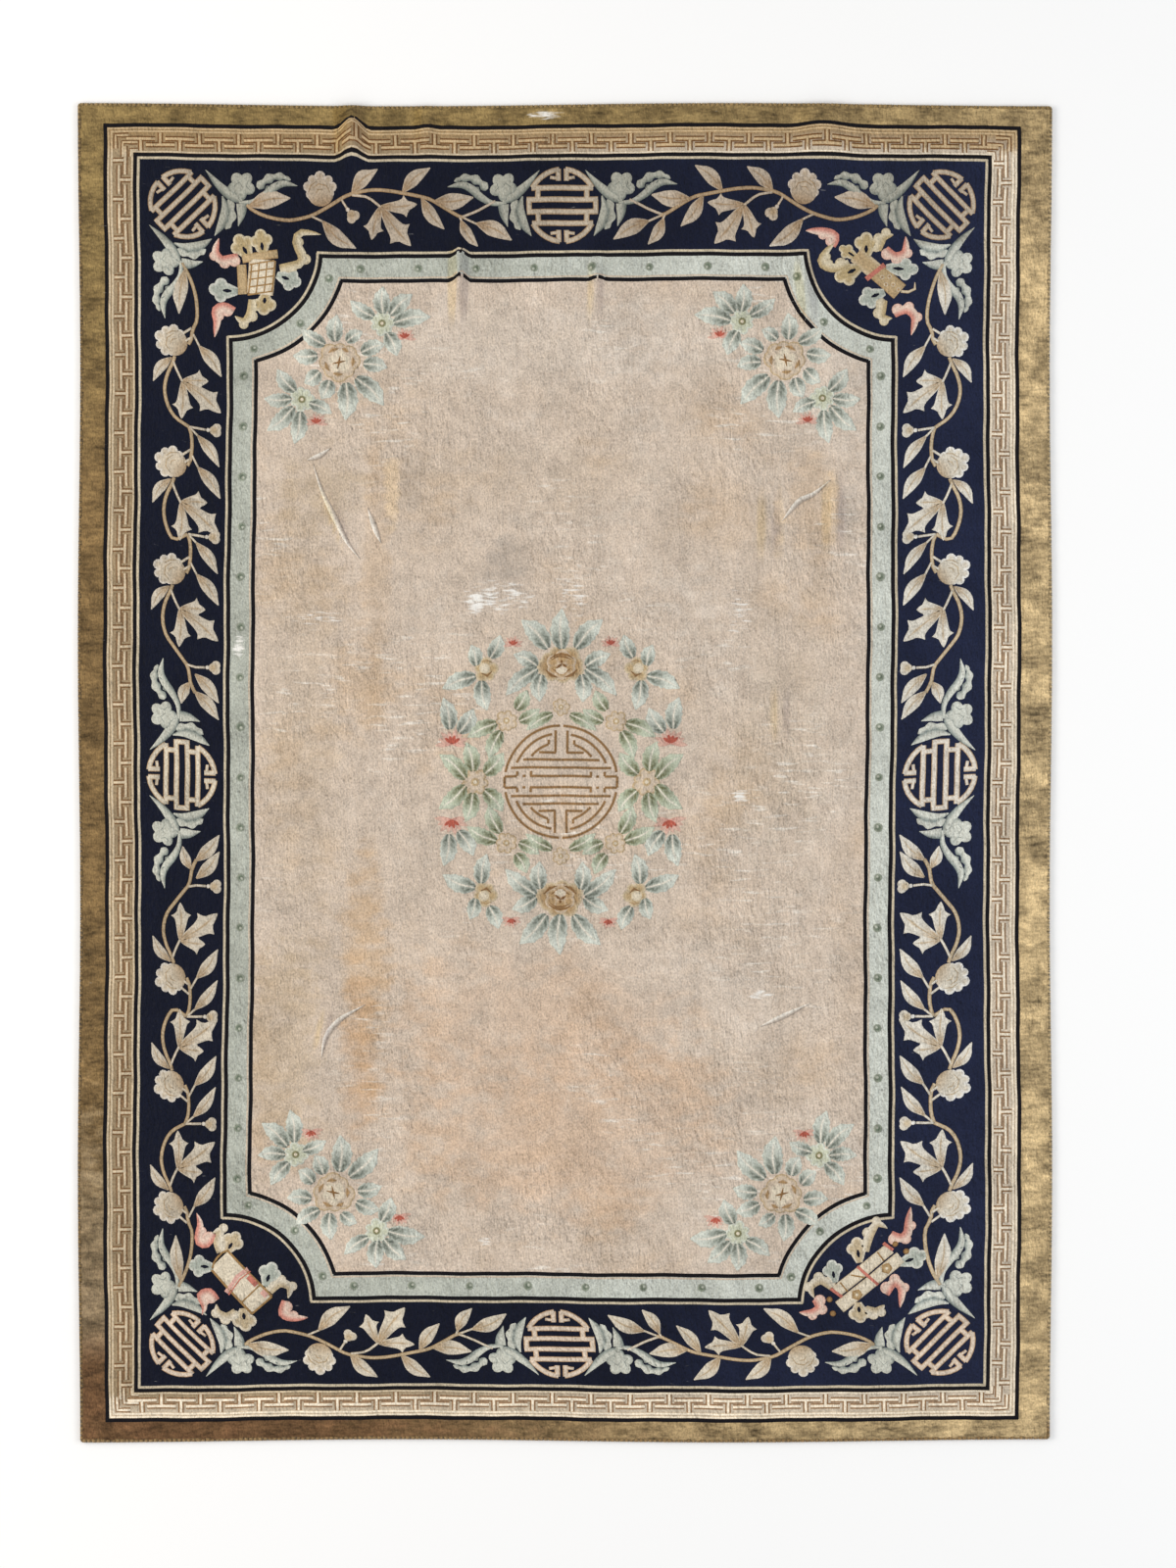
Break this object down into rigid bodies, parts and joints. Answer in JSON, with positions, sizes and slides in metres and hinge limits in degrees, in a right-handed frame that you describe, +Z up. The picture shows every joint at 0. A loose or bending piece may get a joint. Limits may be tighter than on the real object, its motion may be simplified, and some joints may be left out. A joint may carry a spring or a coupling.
{
  "type": "silk rug",
  "caption": "Rectangular hand-knotted silk rug with carved pile, lying flat with a few low ripples; covers a floor.",
  "frame": {"origin": "on the floor under the middle of the rug, at the middle of the underside", "axes": "+Z up out of the pile, +Y along the rug's length, +X across its width"},
  "size_m": [2.444, 3.361, 0.024],
  "materials": {
    "silk_pile": "worn silk pile with a low sheen, peach field, navy border and gold edge"
  },
  "bodies": {
    "root": {"silk_rug": "silk_pile"}
  },
  "joints": []
}
